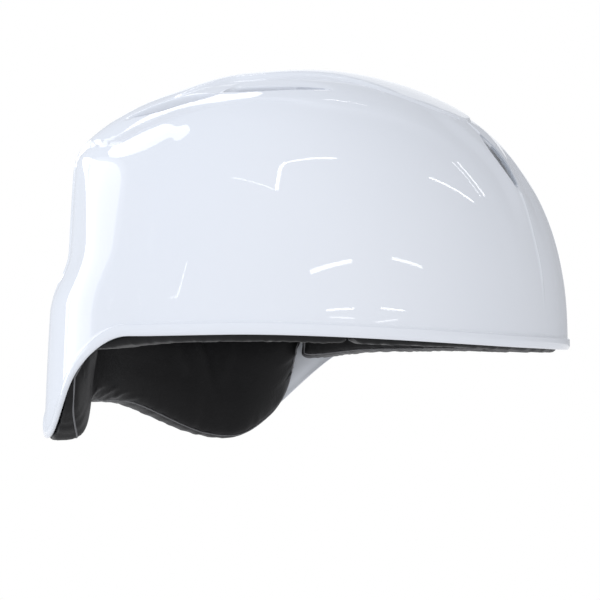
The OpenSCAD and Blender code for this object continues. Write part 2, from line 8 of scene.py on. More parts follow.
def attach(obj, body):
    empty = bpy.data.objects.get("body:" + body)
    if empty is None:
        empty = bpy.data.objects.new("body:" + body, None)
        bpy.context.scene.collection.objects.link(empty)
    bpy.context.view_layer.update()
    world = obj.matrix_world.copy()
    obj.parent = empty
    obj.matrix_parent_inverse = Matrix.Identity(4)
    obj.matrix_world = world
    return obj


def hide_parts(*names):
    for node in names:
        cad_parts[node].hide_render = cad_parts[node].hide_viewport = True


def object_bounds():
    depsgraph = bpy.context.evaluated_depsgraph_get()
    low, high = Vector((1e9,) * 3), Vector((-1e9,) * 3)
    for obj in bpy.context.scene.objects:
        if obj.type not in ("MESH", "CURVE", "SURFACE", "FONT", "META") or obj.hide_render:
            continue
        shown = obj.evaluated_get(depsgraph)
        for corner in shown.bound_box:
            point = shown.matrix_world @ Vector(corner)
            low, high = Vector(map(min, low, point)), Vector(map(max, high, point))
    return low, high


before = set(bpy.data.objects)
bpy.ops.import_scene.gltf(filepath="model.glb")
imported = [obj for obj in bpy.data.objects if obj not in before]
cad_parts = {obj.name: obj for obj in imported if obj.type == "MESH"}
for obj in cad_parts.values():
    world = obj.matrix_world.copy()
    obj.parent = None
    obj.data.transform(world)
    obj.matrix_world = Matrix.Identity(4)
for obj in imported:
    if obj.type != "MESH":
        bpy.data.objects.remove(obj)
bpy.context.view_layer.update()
MM = 0.001

# Camera: 29.5 degrees ahead of the side view, a little under the rim, tilted up
CAM_AZ = math.radians(29.5)
CAM_DIST = 1.2
CAM_Z = -0.035
CAM_RIGHT = -0.0031
CAM_UP = 0.0450
CAM_LENS = 153.0


def make_camera():
    """The camera of the photograph, made before everything else."""
    ahead = Vector((-math.sin(CAM_AZ), math.cos(CAM_AZ), 0.0))
    right = Vector((math.cos(CAM_AZ), math.sin(CAM_AZ), 0.0))
    data = bpy.data.cameras.new("camera")
    data.lens = CAM_LENS
    data.clip_start, data.clip_end = 0.05, 50.0
    cam = bpy.data.objects.new("camera", data)
    bpy.context.scene.collection.objects.link(cam)
    cam.location = (-ahead * CAM_DIST).to_tuple()
    cam.location.z = CAM_Z
    aim = ahead + CAM_RIGHT * right + Vector((0, 0, CAM_UP))
    cam.rotation_mode = "QUATERNION"
    cam.rotation_quaternion = aim.to_track_quat("-Z", "Y")
    bpy.context.scene.camera = cam


make_camera()

# Shell form, in metres and degrees: the construction's sizes, with a longer neck step, a
# sharper corner at the back, a rear swell, steeper vent walls and a thinner lobe edge
FRONT_LEN = 122.8 * MM
BACK_LEN = 119.3 * MM
HALF_WIDTH = 109 * MM
CROWN_H = 122.4 * MM
SLOPE_LEN = 140.3 * MM
BACK_LEAN = 3
WALL, EDGE_WALL = 3 * MM, 1 * MM
FRONT_ROUND, SIDE_ROUND, BACK_ROUND = 2.24, 2.6, 2.25
PLAN_FRONT, PLAN_BACK, WALL_PLAN = 2.17, 2.63, 1.87
# How far the back wall's plan grows towards the front, and over which cosines of the azimuth
WALL_EASE, EASE_SPAN = 0.3, (-0.78, 0.1)
# Power that joins the dome and the back wall, soft at the sides and sharp at the back
JOIN_POWER, JOIN_SPAN = (10, 70), (0.2, 0.9)
# Rim; spans are angles from the back of the head
LIP_H = 4.3 * MM
LIP_OUT = 1 * MM
FRONT_DROP, NAPE_DROP, LOBE_DROP = 5 * MM, 27 * MM, 45.5 * MM
FRONT_SPAN, LOBE_SPAN, CLIMB_SPAN = (100, 175), (5, 38), (39.5, 74)
EDGE_SPAN, EDGE_TALL = (66, 80), 9 * MM
FLARE, FLARE_LOW, FLARE_HIGH = 8 * MM, 12 * MM, 42 * MM
FLARE_SPAN = (40, 88)
# Crown; spans are distances along it, counted forward from the middle
PANEL_HALF = 72.4 * MM
PANEL_TAPER = 0.135
PANEL_UP, REAR_UP = 1.1 * MM, 1.3 * MM
BAND_HALF, BAND_REAR, BAND_NOSE = 47.5 * MM, 62 * MM, 31.5 * MM
BAND_TIP = 82 * MM
BAND_UP = 2.2 * MM
BAND_TIP_UP = 0.9 * MM
RIDGE_UP = 1.4 * MM
SWELL_RISE, SWELL_FALL = (0, 30 * MM), (74 * MM, 98 * MM)
PANEL_FADE, PANEL_SOFT = (66 * MM, 100 * MM), (20 * MM, 90 * MM)
BAND_RISE, BAND_FALL = (-45 * MM, -5 * MM), (22 * MM, 66 * MM)
RIDGE_RISE, RIDGE_FALL = (66 * MM, 88 * MM), (108 * MM, 118 * MM)
CREASE_FRONT, CREASE_BACK = (38 * MM, 118 * MM), (50 * MM, 110 * MM)
# Vents: middle, half length and width along the crown, counted forward and sideways
REAR_VENT = dict(mid=-33 * MM, half=25 * MM, width=9.3 * MM, power=1.1, slant=0.0)
FORE_VENT = dict(mid=17.2 * MM, half=24.2 * MM, width=14.5 * MM, power=0.4, slant=-0.5)
# Their outer lips: inset from the panel's half width, middle, and bend per metre
REAR_LIP, FORE_LIP = (9 * MM, -28 * MM, 3.5), (8 * MM, 6 * MM, -9.5)
VENT_JOIN, LIP_TURN = (-12 * MM, -3 * MM), -8 * MM
LIP_FALL = 0.8 * MM
VENT_DEPTH = 5 * MM
# Where the inner wall of the rear and fore vents starts and ends, and the step left above it
WALL_FOOT, WALL_TOP, LEDGE = (0.66, 0.30), (1.0, 0.5), (0.0, 0.16)
SLOT_END = (0.79, 0.44)
NOSE_VENT = dict(mid=38.3, half=7.4, width=4.9 * MM, depth=0.8 * MM, hole=0.84, thin=1.9 * MM)
# Liner and pads, as depths below the outer face
FOAM_OUT = WALL + 0.8 * MM
FOAM = 10 * MM
CHANNEL = 9 * MM
GAP = 0.3 * MM
PATCH = 0.9 * MM
BOARD = 1.2 * MM
PAD = 9 * MM
NAPE_PAD = 13 * MM
HOOK_AT = FOAM_OUT + FOAM + GAP
LOOP_AT = HOOK_AT + PATCH + GAP
BOARD_AT = LOOP_AT + PATCH + GAP
PAD_AT = BOARD_AT + BOARD + GAP
NAPE_AT = WALL + 4 * GAP + 2 * PATCH + BOARD
# Azimuths where front and side pieces, and side and back pieces, meet
FRONT_END, SIDE_END = 50, 122
SIDE_AZ = (FRONT_END + 3 * np.degrees(MM / HALF_WIDTH), SIDE_END - 1)
NAPE_HALF = 59 - np.degrees(MM / HALF_WIDTH)
# Least divisor and least width of a vent, in metres
TINY, NO_WIDTH = 1e-6, 1e-5
# Times that a search halves its span
HALVINGS = 24


def rise(x, a, b):
    """Smooth rise from 0 at a to 1 at b."""
    u = np.clip((x - a) / (b - a), 0, 1)
    return u * u * (3 - 2 * u)


def mix(a, b, w):
    """Value between a, at w = 0, and b, at w = 1."""
    return a + (b - a) * w


def bow(u):
    """Arch that is 1 in the middle and 0 at -1 and 1."""
    return np.clip(1 - u * u, 0, 1)


def cosd(a):
    return np.cos(np.radians(a))


def sind(a):
    return np.sin(np.radians(a))


def off_back(az):
    """Angle from the back of the head, for an azimuth counted from the front."""
    return np.abs(180 - np.abs(np.mod(az, 360)))


def plan_r(az, front, back, side, power):
    """Rounded plan outline with its own reach to the front, back and sides."""
    c = cosd(az)
    reach = np.where(c > 0, front, back)
    return ((np.abs(c) / reach) ** power + (np.abs(sind(az)) / side) ** power) ** (-1 / power)


def dome_r(az, el, t=0.0):
    """Distance of the dome from the origin at depth t."""
    c = cosd(az)
    power = mix(PLAN_BACK, PLAN_FRONT, (1 + c) / 2)
    n = SIDE_ROUND * (1 - c * c) + np.where(c > 0, FRONT_ROUND, BACK_ROUND) * c * c
    r = plan_r(az, FRONT_LEN - t, SLOPE_LEN - t, HALF_WIDTH - t, power)
    up = np.maximum(sind(el), 0) / (CROWN_H - t)
    return ((np.maximum(cosd(el), 1e-6) / r) ** n + up**n) ** (-1 / n)


def wall_r(az, el, t=0.0):
    """Distance of the leaning back wall from the origin at depth t."""
    out = 1 + WALL_EASE * rise(cosd(az), *EASE_SPAN)
    wall = out * plan_r(az, FRONT_LEN - t, BACK_LEN - t, HALF_WIDTH - t, WALL_PLAN)
    return wall / np.maximum(0.01, cosd(el) + math.tan(math.radians(BACK_LEAN)) * sind(el))


def form_r(az, el, t=0.0):
    """Distance of the plain form from the origin: the dome cut by the back wall."""
    m = mix(*JOIN_POWER, rise(-cosd(az), *JOIN_SPAN))
    dome = dome_r(az, el, t)
    return dome * (1 + (dome / wall_r(az, el, t)) ** m) ** (-1 / m)


def level_z(az):
    """Height of the rim without the neck lobes."""
    return -FRONT_DROP * rise(off_back(az), *FRONT_SPAN)


def rim_z(az):
    """Height of the rim all the way round."""
    q = off_back(az)
    lobe = (LOBE_DROP - NAPE_DROP) * rise(q, *LOBE_SPAN)
    return -NAPE_DROP - lobe + LOBE_DROP * rise(q, *CLIMB_SPAN) + level_z(az)


def edge_wall(az, z):
    """Thickness of the shell, feathered towards the edge of the neck lobes."""
    thin = (WALL - EDGE_WALL) * (1 - rise(off_back(az), *EDGE_SPAN))
    return WALL - thin * (1 - rise(z - rim_z(az), 0, EDGE_TALL))


def flare_at(az, z):
    """Outward step round the neck."""
    return FLARE * (1 - rise(off_back(az), *FLARE_SPAN)) * (1 - rise(z, FLARE_LOW, FLARE_HIGH))


def el_at_z(az, z):
    """Elevation at which the form has the height z."""
    el = np.zeros_like(az * 1.0 + z * 1.0)
    for _ in range(8):
        el = np.degrees(np.arctan2(z, (form_r(az, el) + flare_at(az, z)) * cosd(el)))
    return el


def el_at_r(az, r, t=0.0):
    """Elevation at which the form has the distance r from the middle axis."""
    lo, hi = np.zeros_like(az * 1.0), np.full_like(az * 1.0, 90.0)
    for _ in range(HALVINGS):
        el = (lo + hi) / 2
        out = form_r(az, el, t) * cosd(el) > r
        lo, hi = np.where(out, el, lo), np.where(out, hi, el)
    return (lo + hi) / 2


def arc_deg(length):
    """Angle of a length along the side of the shell."""
    return np.degrees(length / HALF_WIDTH)


def polar(r, az, el):
    """Point at distance r, azimuth az and elevation el."""
    return np.stack([r * cosd(el) * cosd(az), r * cosd(el) * sind(az), r * sind(el)], -1)


def along(vent, x):
    """Place along a crown vent, from -1 at its rear tip to 1 at its front tip."""
    return (x - vent["mid"]) / vent["half"]


def vent_width(x):
    """Width of the crown vents, which is nothing outside them."""
    total = 0
    for v in (REAR_VENT, FORE_VENT):
        u = along(v, x)
        total = total + v["width"] * bow(u) ** v["power"] * (1 + v["slant"] * np.clip(u, -1, 1))
    return total


def by_vent(pair, x):
    """Value of a crown vent at place x: the rear one's or the fore one's."""
    return mix(*pair, rise(x, *VENT_JOIN))


def lip_y(x):
    """Outer lip of the crown vents as a distance from the middle plane."""
    rear, fore = (PANEL_HALF - inset + bend * (x - mid) ** 2
                  for inset, mid, bend in (REAR_LIP, FORE_LIP))
    return by_vent((rear + vent_width(np.minimum(x, LIP_TURN)), fore), x)


def crease_y(x):
    """Edge of the crown panel as a distance from the middle plane."""
    ends = 0.56 * rise(x, *CREASE_FRONT) + 0.45 * rise(-x, *CREASE_BACK)
    return (PANEL_HALF - PANEL_TAPER * x) * (1 - ends)


def band_y(x):
    """Edge of the middle band as a distance from the middle plane."""
    half = mix(BAND_REAR, BAND_HALF, rise(x, -34 * MM, -8 * MM))
    half = half - (BAND_HALF - BAND_NOSE) * rise(x, -4 * MM, 56 * MM)
    s = np.clip((x - BAND_TIP) / (36 * MM) + 1, 0, 1)
    return half * bow(s) ** 0.65


def plan_cut(az, line, cap):
    """Distance from the middle axis at which a line of the plan is met, closed by a cap."""
    lo, hi = np.zeros_like(az * 1.0), np.full_like(az * 1.0, 1.5 * BACK_LEN)
    for _ in range(HALVINGS):
        r = (lo + hi) / 2
        inside = line(r * cosd(az)) > r * np.abs(sind(az))
        lo, hi = np.where(inside, r, lo), np.where(inside, hi, r)
    return (hi**-24.0 + cap**-24.0) ** (-1 / 24)


def crease_r(az):
    """Distance of the panel's edge from the middle axis."""
    return plan_cut(az, crease_y, np.where(cosd(az) > 0, 0.755 * FRONT_LEN, 0.87 * BACK_LEN))


def crown_up(x, y):
    """How far the panel, the middle band and the front ridge stand out of the form."""
    ay = np.abs(y)
    soft = mix(0.7 * MM, 7 * MM, rise(x, *PANEL_SOFT))
    swell = REAR_UP * rise(-x, *SWELL_RISE) * (1 - rise(-x, *SWELL_FALL))
    fade = 1 - 0.8 * rise(x, *PANEL_FADE)
    up = (PANEL_UP * fade + swell) * rise(crease_y(x) - ay, -0.5 * soft, soft)
    edge = mix(1.8 * MM, 1.1 * MM, rise(x, 0, 50 * MM))
    height = mix(BAND_UP, BAND_TIP_UP, rise(x, *BAND_FALL)) * rise(x, *BAND_RISE)
    up = up + height * rise(band_y(x) - ay, -edge, edge)
    half = mix(19 * MM, 8 * MM, rise(x, 82 * MM, 108 * MM))
    ridge_at = rise(x, *RIDGE_RISE) * (1 - rise(x, *RIDGE_FALL))
    return up + RIDGE_UP * ridge_at * rise(half - ay, -6 * MM, 7 * MM)


def nose_half(el):
    """Half width of the front vent."""
    u = (el - NOSE_VENT["mid"]) / NOSE_VENT["half"]
    return NOSE_VENT["width"] * bow(u) ** 0.8 * (1 + 0.35 * np.clip(u, -1, 1))


def vent_down(el, x, y):
    """Depth of the vents below the crown: a sharp lip, a floor and a steep inner wall."""
    w = vent_width(x)
    inside = lip_y(x) - np.abs(y)
    v = inside / np.maximum(w, TINY)
    foot, top, ledge = (by_vent(pair, x) for pair in (WALL_FOOT, WALL_TOP, LEDGE))
    wall = (1 - ledge) * (1 - rise(v, foot, top)) + ledge * (1 - rise(v, top, top + 0.5))
    fall = rise(inside, -0.15 * MM, LIP_FALL)
    down = np.where(w > NO_WIDTH, np.minimum(VENT_DEPTH, 0.55 * w) * fall * wall, 0)
    h = nose_half(el)
    n = np.abs(y) / np.maximum(h, TINY)
    nose = np.minimum(NOSE_VENT["depth"], 0.5 * h) * (1 - rise(n, 0.7, 1.0))
    return down + np.where((h > NO_WIDTH) & (x > 50 * MM), nose, 0)


def surface(az, el, t=0.0, extra=0.0):
    """Points of the dressed form at depth t below the outer face."""
    f, outer = form_r(az, el, t), form_r(az, el)
    up = crown_up(f * cosd(el) * cosd(az), f * cosd(el) * sind(az)) * rise(el, 4, 14)
    down = vent_down(el, outer * cosd(el) * cosd(az), outer * cosd(el) * sind(az))
    r = f + flare_at(az, f * sind(el)) + up + extra - down
    return polar(r, az, el)


# Grid of the shell: columns round it, and rows between one guide line and the next
COLS = 440
ROW_STEPS = (3, 2, 9, 10, 11, 20, 5, 5, 3, 3, 3, 6, 5, 4, 10)
# Guide lines that the openings use: top of the rim, panel edge, vent lip, slot and wall top
RIM_TOP, CREASE, LIP_EDGE, SLOT, WALL_HIGH = 1, 6, 9, 11, 12
# Columns on each side of the middle that the front vent's hole takes, and that make room
HOLE_COLS, ROOM_COLS = 2, 30
# Material slots of the shell: its face, and the walls of the crown vents and of the front vent,
# painted grey for the shade in these recesses
FACE, VENT_WALL_SHADED, NOSE_WALL_SHADED = 0, 1, 2


def column_az():
    """Azimuths of the columns, closer together at the front."""
    u = np.linspace(0, 2 * np.pi, COLS, endpoint=False)
    return np.degrees(u - 0.35 * np.sin(u) - 0.14 * np.sin(2 * u))


def corner_el():
    """Elevation of the corner between the back wall and the dome."""
    lo, hi = 20.0, 60.0
    for _ in range(16):
        m = (lo + hi) / 2
        lo, hi = (m, hi) if wall_r(180.0, m) < dome_r(180.0, m) else (lo, m)
    return (lo + hi) / 2


def shell_rows(az):
    """Elevations of all rows for every column, and the index of each guide line."""
    z = rim_z(az)
    crease = crease_r(az)
    lip = np.minimum(plan_cut(az, lip_y, 100 * MM), crease - 2.4 * MM)
    w = vent_width(lip * cosd(az)) / np.maximum(np.abs(sind(az)), 0.5)
    low = np.minimum(lip - by_vent(WALL_FOOT, lip * cosd(az)) * w, lip - LIP_FALL - 0.4 * MM)
    slot = np.minimum(lip - by_vent(SLOT_END, lip * cosd(az)) * w, low - 0.3 * MM)
    high = np.minimum(lip - by_vent(WALL_TOP, lip * cosd(az)) * w, slot - 0.9 * MM)
    band = np.minimum(plan_cut(az, band_y, 92 * MM), high - 2.5 * MM)
    corner = mix(corner_el(), 30, rise(cosd(az), 0.3, 0.9))
    heights = (z, z + LIP_H, z + LIP_H + LIP_OUT, np.full_like(az, FLARE_LOW),
               np.full_like(az, FLARE_HIGH))
    guides = [*(el_at_z(az, h) for h in heights), corner]
    guides += [el_at_r(az, r) for r in (crease + 0.6 * MM, crease - 1.5 * MM, lip + 0.3 * MM,
                                        lip - LIP_FALL, low, slot, high, band + 1.5 * MM,
                                        band - 1.5 * MM)]
    guides.append(np.full_like(az, 90.0))
    rows, marks = [guides[0]], [0]
    for a, b, n in zip(guides, guides[1:], ROW_STEPS):
        rows += [mix(a, b, k / n) for k in range(1, n + 1)]
        marks.append(len(rows) - 1)
    return np.array(rows[:-1]), marks


def new_mesh(name, points, faces, smooth_angle, slots=None):
    """Object from points and faces, shaded smooth except at edges sharper than an angle."""
    mesh = bpy.data.meshes.new(name)
    mesh.from_pydata([tuple(p) for p in points], [], [tuple(int(i) for i in f) for f in faces])
    mesh.polygons.foreach_set("use_smooth", np.ones(len(mesh.polygons), dtype=bool))
    if slots is not None:
        mesh.polygons.foreach_set("material_index", np.asarray(slots, dtype=np.int32))
    mesh.validate()
    if smooth_angle:
        mesh.set_sharp_from_angle(angle=math.radians(smooth_angle))
    obj = bpy.data.objects.new(name, mesh)
    bpy.context.scene.collection.objects.link(obj)
    return obj


def declare(obj, node, slot, materials):
    """Ride a piece on the root body in place of its CAD solid, with its materials."""
    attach(obj, "root")
    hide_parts(node)
    for mat in materials:
        obj.data.materials.append(mat)
    return obj


def form_y(az, el):
    """Distance of the form from the middle plane."""
    return form_r(az, el) * cosd(el) * sind(az)


def shell_grid():
    """Azimuths, elevations, guide lines, and which points lie round the front vent's hole."""
    az = column_az()
    el, marks = shell_rows(az)
    azs = np.broadcast_to(az, el.shape).copy()
    # Columns next to the middle part round the front vent
    k = (np.arange(COLS) + COLS // 2) % COLS - COLS // 2
    hole_az = np.degrees(nose_half(el) * NOSE_VENT["hole"] / (form_r(azs, el) * cosd(el)))
    spread = np.maximum(hole_az - HOLE_COLS * (az[1] - az[0]), 0)
    azs += spread * np.clip(k / HOLE_COLS, -1, 1) * (1 - rise(np.abs(k), HOLE_COLS, ROOM_COLS))
    return azs, el, marks, (spread > 0) & (np.abs(k) <= HOLE_COLS)


def shell_openings(azs, el, marks, hole, x_lip, n):
    """Cells left open, and the material of each cell."""
    u = np.abs(np.stack([along(v, x_lip) for v in (REAR_VENT, FORE_VENT)])).min(0)
    gone, kind = np.zeros((2, len(el) - 1, COLS), dtype=int)
    # Vent walls take the material painted grey for the shade in their recesses
    kind[marks[LIP_EDGE]:marks[WALL_HIGH]] = np.where(u < 0.99, VENT_WALL_SHADED, FACE)
    # The front vent's scoop is painted a darker grey for the shade in it
    nose = (n[:-1] < 0.97) & (cosd(azs[:-1]) > 0.9) & (nose_half(el[:-1]) > NO_WIDTH)
    kind[nose] = NOSE_WALL_SHADED
    gone[marks[LIP_EDGE]:marks[SLOT]] = np.maximum(u, np.roll(u, -1)) < 0.9
    pairs = hole[:-1] & hole[1:]
    return (gone > 0) | (pairs & np.roll(pairs, -1, 1)), kind


def make_shell(mats):
    """Moulded shell: an outer and an inner face with a rounded rim and open slots."""
    azs, el, marks, hole = shell_grid()
    rows = len(el)
    lip = np.zeros_like(el)
    lip[: marks[RIM_TOP] + 1] = LIP_OUT
    lip[marks[RIM_TOP] + 1] = 0.35 * LIP_OUT
    lip[0] = LIP_OUT - 0.5 * MM
    outer = surface(azs, el, 0.0, lip)
    n = np.abs(form_y(azs, el)) / np.maximum(nose_half(el), TINY)
    thin = NOSE_VENT["thin"] * (1 - rise(n, 1.0, 1.8)) * (cosd(azs) > 0.5)
    inner = surface(azs, el, edge_wall(azs, outer[..., 2]) - thin)
    # The rim is rounded by three more rows under it
    drop = np.outer(edge_wall(azs[0], outer[0, :, 2]), (0, 0, 0.18))
    under = [outer[0] + (inner[0] - outer[0]) * s - drop for s in (0.14, 0.5, 0.86)]
    top = np.array([[0, 0, surface(np.array(0.0), np.array(89.99), t)[2]] for t in (0.0, WALL)])
    points = np.concatenate([outer.reshape(-1, 3), inner.reshape(-1, 3), *under, top])
    gone, kind = shell_openings(azs, el, marks, hole, outer[marks[LIP_EDGE], :, 0], n)
    size = rows * COLS
    i = np.arange(COLS)
    nxt = (i + 1) % COLS
    faces, slots = [], []

    def add(quads, kinds):
        faces.extend(quads)
        slots.extend(np.broadcast_to(kinds, len(quads)))

    for j in range(rows - 1):
        a, b, c, d = j * COLS + i, j * COLS + nxt, (j + 1) * COLS + nxt, (j + 1) * COLS + i
        keep = ~gone[j]
        add(np.stack([a, b, c, d], 1)[keep], kind[j][keep])
        add(np.stack([size + a, size + d, size + c, size + b], 1)[keep], FACE)
        for g in np.nonzero(gone[j])[0]:
            sides = ((j - 1, g, a[g], b[g]), (j + 1, g, c[g], d[g]),
                     (j, (g - 1) % COLS, d[g], a[g]), (j, (g + 1) % COLS, b[g], c[g]))
            for jj, kk, p, q in sides:
                if not gone[jj, kk]:
                    # The sides of the openings take the vent materials with painted shade
                    wall = NOSE_WALL_SHADED if j < marks[CREASE] else VENT_WALL_SHADED
                    add([(p, q, size + q, size + p)], wall)
    rings = [i, *(2 * size + COLS * s + i for s in range(3)), size + i]
    for a, b in zip(rings, rings[1:]):
        add(np.stack([a, b, b[nxt], a[nxt]], 1), FACE)
    tip, last = 2 * size + 3 * COLS, (rows - 1) * COLS
    add([(last + s, last + int(nxt[s]), tip) for s in i], FACE)
    add([(size + last + int(nxt[s]), size + last + s, tip + 1) for s in i], FACE)
    return declare(new_mesh("helmet_shell", points, faces, 50, slots), "shell", "shell", mats)


def at_depth(az, el, t):
    """Point of the form with the neck step, at depth t below the outer face."""
    f = form_r(az, el, t)
    return polar(f + flare_at(az, f * sind(el)), az, el)


def crown_at(az, r, t):
    """Point under the crown at distance r from the middle axis and depth t."""
    el = np.where(r < MM, 90.0, el_at_r(az, r, t))
    f = form_r(az, el, t)
    up = crown_up(f * cosd(el) * cosd(az), f * cosd(el) * sind(az))
    return polar(f + up, az, el)


def corner(u, length, radius):
    """How far a round corner draws the edge in at place u of a side."""
    x = np.clip(np.abs(u) * length / 2 - length / 2 + radius, 0, radius) / radius
    return radius * (1 - np.sqrt(1 - x * x))


def rim_steps(radius, steps=5):
    """Insets and shares of a quarter round from a face (0) to the side (1)."""
    a = np.radians(np.linspace(0, 90, steps))
    return radius * (1 - np.sin(a)), 1 - np.cos(a)


def slab(place, size, back, front, radius, n, m):
    """Closed piece between two curved faces with rounded edges.

    place(u, v, t) gives points, size is the length along u and v, and back and front give
    the depths of the faces. Returns points, faces, and u and v of each point.
    """
    us = np.sin(np.radians(np.linspace(-90, 90, n + 1)))
    us = mix(us, np.linspace(-1, 1, n + 1), 0.7)
    vs = mix(np.sin(np.radians(np.linspace(-90, 90, m + 1))), np.linspace(-1, 1, m + 1), 0.7)
    gu, gv = np.meshgrid(us, vs)
    ids = np.arange((n + 1) * (m + 1)).reshape(m + 1, n + 1)
    loop = np.concatenate([ids[0, :-1], ids[:-1, -1], ids[-1, :0:-1], ids[:0:-1, 0]])
    flat_u, flat_v = gu.ravel(), gv.ravel()

    def layer(u, v, inset, share):
        uu, vv = u * (1 - 2 * inset / size[0]), v * (1 - 2 * inset / size[1])
        t0, t1 = back(uu, vv), front(uu, vv)
        deep = t1 - t0
        r = np.minimum(radius, deep / 2) * share[0]
        t = np.where(share[1], t1 - r, t0 + r)
        return place(uu, vv, t), np.stack([uu, vv], -1)

    insets, falls = rim_steps(radius)
    parts = [layer(flat_u, flat_v, insets[0], (0, True))]
    rings = [(i, (f, True)) for i, f in zip(insets[1:], falls[1:])]
    rings += [(i, (f, False)) for i, f in zip(insets[:0:-1], falls[:0:-1])]
    parts += [layer(flat_u[loop], flat_v[loop], i, share) for i, share in rings]
    parts.append(layer(flat_u, flat_v, insets[0], (0, False)))
    points = np.concatenate([p for p, _ in parts])
    uv = np.concatenate([q for _, q in parts])
    quads = np.stack([ids[:-1, :-1], ids[:-1, 1:], ids[1:, 1:], ids[1:, :-1]], -1).reshape(-1, 4)
    start, e = ids.size, len(loop)
    levels = [loop] + [start + k * e + np.arange(e) for k in range(len(rings))]
    back0 = start + len(rings) * e
    levels.append(back0 + loop)
    faces = [quads]
    for a, b in zip(levels, levels[1:]):
        faces.append(np.stack([a, b, np.roll(b, -1), np.roll(a, -1)], -1))
    faces.append(back0 + quads[:, ::-1])
    return points, np.concatenate(faces), uv, levels


def disc(reach, back, front, radius, n, m):
    """Closed round piece under the crown with a rounded edge, like slab()."""
    az = np.arange(n) * 360 / n

    def ring(s, inset, r_share, inner):
        t0, t1 = back(s), front(s)
        r = min(radius, (t1 - t0) / 2) * r_share
        return crown_at(az, (reach(az) - inset) * s, np.full(n, t1 - r if inner else t0 + r))

    insets, falls = rim_steps(radius)
    steps = np.linspace(0, 1, m + 1)[1:]
    parts = [ring(s, insets[0], 0, True) for s in steps]
    parts += [ring(1.0, i, f, True) for i, f in zip(insets[1:], falls[1:])]
    parts += [ring(1.0, i, f, False) for i, f in zip(insets[:0:-1], falls[:0:-1])]
    parts += [ring(s, insets[0], 0, False) for s in steps[::-1]]
    zero = np.array([0.0])
    tips = [crown_at(zero, zero, np.array([t(0.0)])) for t in (front, back)]
    points = np.concatenate(parts + tips)
    i = np.arange(n)
    j = (i + 1) % n
    faces = []
    for k in range(len(parts) - 1):
        a, b = k * n, (k + 1) * n
        faces += list(np.stack([a + i, b + i, b + j, a + j], -1))
    last, tip = (len(parts) - 1) * n, len(parts) * n
    faces += [(int(p), int(q), tip) for p, q in zip(i, j)]
    faces += [(last + int(q), last + int(p), tip + 1) for p, q in zip(i, j)]
    return points, faces


def fix_normals(obj):
    """Turn all faces outwards."""
    mesh = obj.data
    mesh.calc_loop_triangles()
    co = np.array([v.co for v in mesh.vertices])
    tri = np.array([t.vertices for t in mesh.loop_triangles])
    a, b, c = co[tri[:, 0]], co[tri[:, 1]], co[tri[:, 2]]
    if np.einsum("ij,ij->i", a, np.cross(b, c)).sum() < 0:
        mesh.flip_normals()


def tube_points(path, radius, sides=6):
    """Points and faces of a closed tube along a closed path."""
    n = len(path)
    ahead = np.roll(path, -1, 0) - np.roll(path, 1, 0)
    ahead /= np.linalg.norm(ahead, axis=1)[:, None]
    out = path / np.linalg.norm(path, axis=1)[:, None]
    side = np.cross(ahead, out)
    side /= np.linalg.norm(side, axis=1)[:, None]
    up = np.cross(side, ahead)
    a = np.arange(sides) * 2 * np.pi / sides
    points = path[:, None] + radius * (np.cos(a)[None, :, None] * side[:, None]
                                       + np.sin(a)[None, :, None] * up[:, None])
    i, k = np.meshgrid(np.arange(n), np.arange(sides), indexing="ij")
    ahead_i, next_k = (i + 1) % n, (k + 1) % sides
    corners = ((i, k), (ahead_i, k), (ahead_i, next_k), (i, next_k))
    faces = np.stack([p * sides + q for p, q in corners], -1)
    return points.reshape(-1, 3), faces.reshape(-1, 4)


def puff(u, v, edge=0.45):
    """Crown of a cushion, full in the middle and falling to its sewn edges."""
    full_u, full_v = (np.sqrt(np.clip(1 - np.abs(x) ** p, 0, 1)) for x, p in ((u, 5), (v, 4)))
    return mix(edge, 1, full_u * full_v)


def groove(u, at, half, deep):
    """Sewn groove across a cushion."""
    return deep * (1 - rise(np.abs(u - at), 0, half))


def piece_name(node):
    return node + "_piece"


def make_cushion(node, shape, mats, folds):
    """Padded piece from a slab, with a welt sewn round its inner edge and its folds."""
    points, faces, uv, levels = shape
    welt, strips = tube_points(points[levels[2]], 0.45 * MM)
    slots = [0] * len(faces) + [1] * len(strips)
    obj = new_mesh(piece_name(node), np.concatenate([points, welt]),
                   [*faces, *(strips + len(points))], 0, slots)
    fix_normals(obj)
    declare(obj, node, "pad_leather", mats)
    sculpt(obj, uv, folds)


def nape_shape(n=150, m=44, tall=50 * MM):
    """Thick pad over the neck lobes, with its low edge just under that of the shell."""
    length = 2 * math.radians(NAPE_HALF) * BACK_LEN
    top = 10 * MM

    def az_of(u, v):
        return 180 + (NAPE_HALF - 2.5 * (1 - v) / 2) * u

    def place(u, v, t):
        d = corner(u, length, 12 * MM)
        low = rim_z(az_of(u, -1)) - 1.3 * MM + d
        z = mix(low, top - 0.5 * d, (1 + v) / 2)
        z = z * np.where(z < 0, 1 + t / BACK_LEN, 1)
        az = az_of(u, v)
        return at_depth(az, el_at_z(az, z), t)

    def back(u, v):
        j = 4.5 * (1 + v)
        seat = rise(1 - np.abs(u), 0.01, 0.08) * rise(j, 0.3, 1.5) * rise(9 - j, 0, 1)
        z = rim_z(az_of(u, -1)) + (1 + v) / 2 * tall
        return mix(edge_wall(az_of(u, v), z) + 0.5 * MM, NAPE_AT, seat)

    def front(u, v):
        sewn = sum(groove(u, g, 0.06, 0.06) for g in (-0.55, 0.55))
        slim = 0.55 * rise(np.abs(u), 0.7, 1) * (1 - rise(v, -1, 0.5))
        return NAPE_AT + NAPE_PAD * (puff(u, v, 0.3) - sewn - slim)

    return slab(place, (length, tall), back, front, 2.6 * MM, n, m)


